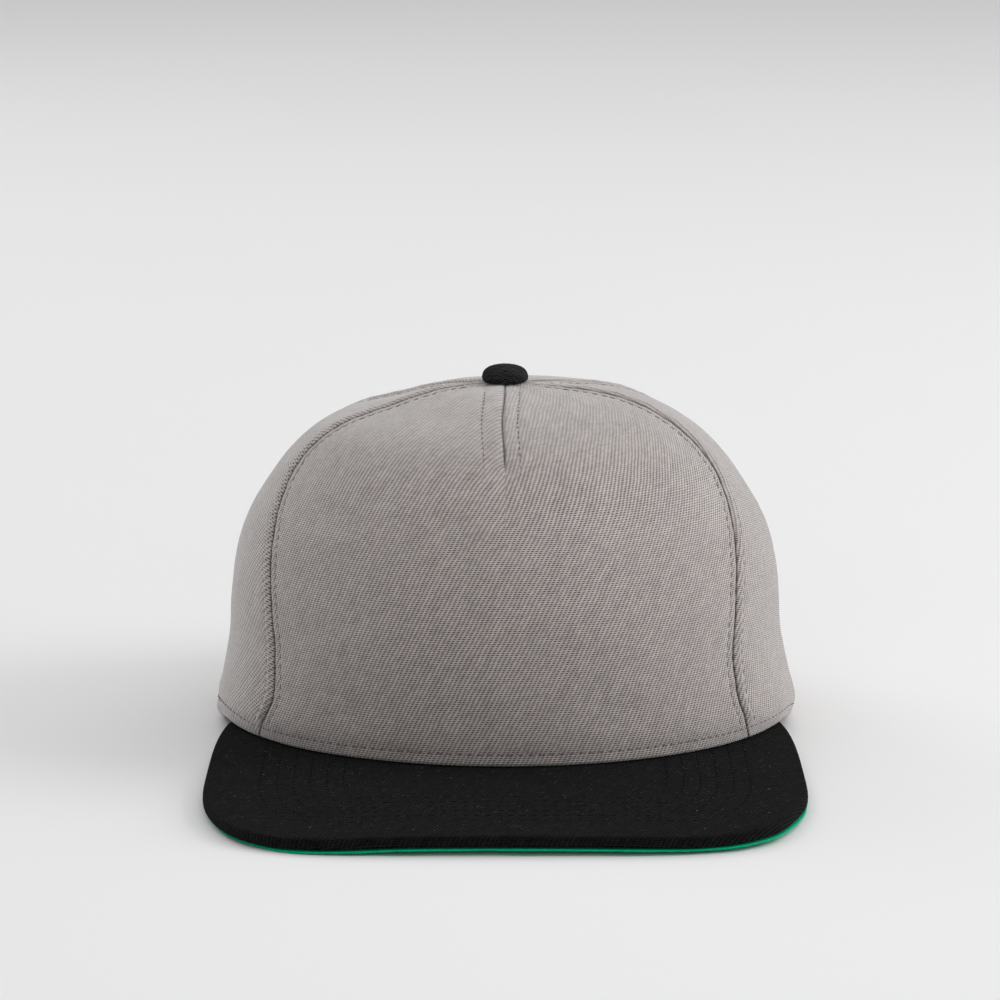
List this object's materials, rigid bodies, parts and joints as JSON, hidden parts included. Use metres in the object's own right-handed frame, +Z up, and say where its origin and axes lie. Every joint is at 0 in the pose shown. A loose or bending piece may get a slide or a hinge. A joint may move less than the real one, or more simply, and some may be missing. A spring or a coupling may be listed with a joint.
{
  "type": "snapback cap",
  "caption": "Five-panel cap with a high rounded grey crown, a covered top button, a stiff flat black brim lined in green, and a plastic snap strap at the back.",
  "frame": {"origin": "middle of the cap's footprint, on the surface it rests on", "axes": "+Z up, -Y out along the brim, +X to the right of someone facing the front of the cap"},
  "size_m": [0.1852, 0.2682, 0.1148],
  "materials": {
    "grey_twill": "matt wool-blend twill with fine steep ribs and tone-on-tone stitching",
    "black_twill": "matt black twill with fine diagonal ribs",
    "green_twill": "matt green cotton twill",
    "black_band_cloth": "matt black brushed cotton band",
    "black_plastic": "satin black moulded plastic"
  },
  "bodies": {
    "root": {"front_panel": "grey_twill", "side_panel_right": "grey_twill", "side_panel_left": "grey_twill", "back_panel_right": "grey_twill", "back_panel_left": "grey_twill", "top_button": "black_twill", "brim_top": "black_twill", "brim_lining": "green_twill", "sweatband": "black_band_cloth", "snap_strap": "black_plastic"}
  },
  "joints": []
}
